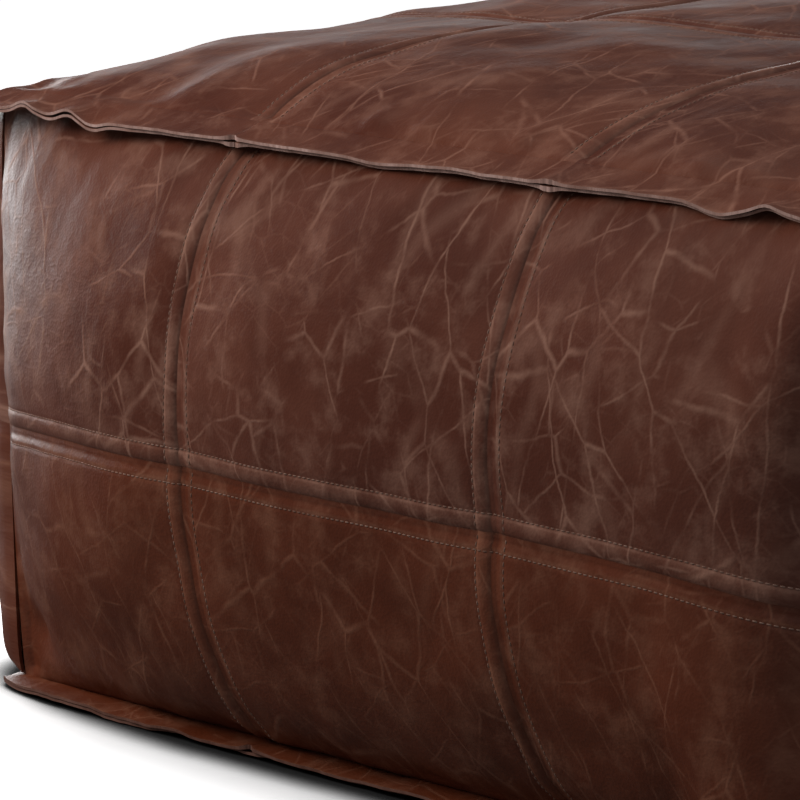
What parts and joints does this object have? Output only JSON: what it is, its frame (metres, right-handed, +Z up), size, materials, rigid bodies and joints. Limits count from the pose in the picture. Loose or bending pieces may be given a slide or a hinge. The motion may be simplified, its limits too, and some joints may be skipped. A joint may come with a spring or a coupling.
{
  "type": "leather floor pouf",
  "caption": "Large square stuffed floor pouf with a patchwork leather cover, stitched seams, raw-edged top and bottom flanges, and a zip in its base.",
  "frame": {"origin": "on the floor under the middle of the pouf", "axes": "+Z up; the faces lie across X and Y, with the front face towards -Y and the zip along X, nearer the rear face"},
  "size_m": [0.7626, 0.7626, 0.3602],
  "materials": {
    "leather_top": "waxed, distressed",
    "leather_upper": "waxed, distressed",
    "leather_lower": "waxed, distressed",
    "leather_base": "matt",
    "sewing_thread": "waxed thread",
    "liner_cloth": "plain woven cotton",
    "wadding": "loose fibre",
    "foam": "open-cell foam",
    "zip_tape": "woven tape",
    "zip_coil": "satin nylon",
    "zip_metal": "antiqued"
  },
  "bodies": {
    "pouf": {"base_panel_front": "leather_base", "base_panel_rear": "leather_base", "bottom_flange_stitching": "sewing_thread", "foam_core": "foam", "front_panel_lower_centre": "leather_lower", "front_panel_lower_left": "leather_lower", "front_panel_lower_right": "leather_lower", "front_panel_upper_centre": "leather_upper", "front_panel_upper_left": "leather_upper", "front_panel_upper_right": "leather_upper", "left_panel_lower_centre": "leather_lower", "left_panel_lower_left": "leather_lower", "left_panel_lower_right": "leather_lower", "left_panel_upper_centre": "leather_upper", "left_panel_upper_left": "leather_upper", "left_panel_upper_right": "leather_upper", "liner_base": "liner_cloth", "liner_front": "liner_cloth", "liner_left": "liner_cloth", "liner_rear": "liner_cloth", "liner_right": "liner_cloth", "liner_top": "liner_cloth", "rear_panel_lower_centre": "leather_lower", "rear_panel_lower_left": "leather_lower", "rear_panel_lower_right": "leather_lower", "rear_panel_upper_centre": "leather_upper", "rear_panel_upper_left": "leather_upper", "rear_panel_upper_right": "leather_upper", "right_panel_lower_centre": "leather_lower", "right_panel_lower_left": "leather_lower", "right_panel_lower_right": "leather_lower", "right_panel_upper_centre": "leather_upper", "right_panel_upper_left": "leather_upper", "right_panel_upper_right": "leather_upper", "side_stitching": "sewing_thread", "side_wadding_front": "wadding", "side_wadding_left": "wadding", "side_wadding_rear": "wadding", "side_wadding_right": "wadding", "top_flange_stitching": "sewing_thread", "top_panel_front_centre": "leather_top", "top_panel_front_left": "leather_top", "top_panel_front_right": "leather_top", "top_panel_middle_centre": "leather_top", "top_panel_middle_left": "leather_top", "top_panel_middle_right": "leather_top", "top_panel_rear_centre": "leather_top", "top_panel_rear_left": "leather_top", "top_panel_rear_right": "leather_top", "top_stitching": "sewing_thread", "top_wadding": "wadding", "zip_coil_front": "zip_coil", "zip_coil_rear": "zip_coil", "zip_end_stops": "zip_metal", "zip_tape_front": "zip_tape", "zip_tape_rear": "zip_tape"},
    "zip_slider": {"zip_slider": "zip_metal"},
    "zip_pull_tab": {"zip_pull_tab": "zip_metal"}
  },
  "joints": [
    {"name": "zip_slide", "type": "slide", "parent": "pouf", "child": "zip_slider", "axis": [1, 0, 0], "range_m": [0, 0.54]},
    {"name": "pull_tab_hinge", "type": "hinge", "parent": "zip_slider", "child": "zip_pull_tab", "pos_m": [-0.27, 0.2, 0.0036], "axis": [0, 1, 0], "range_deg": [0, 180]}
  ]
}
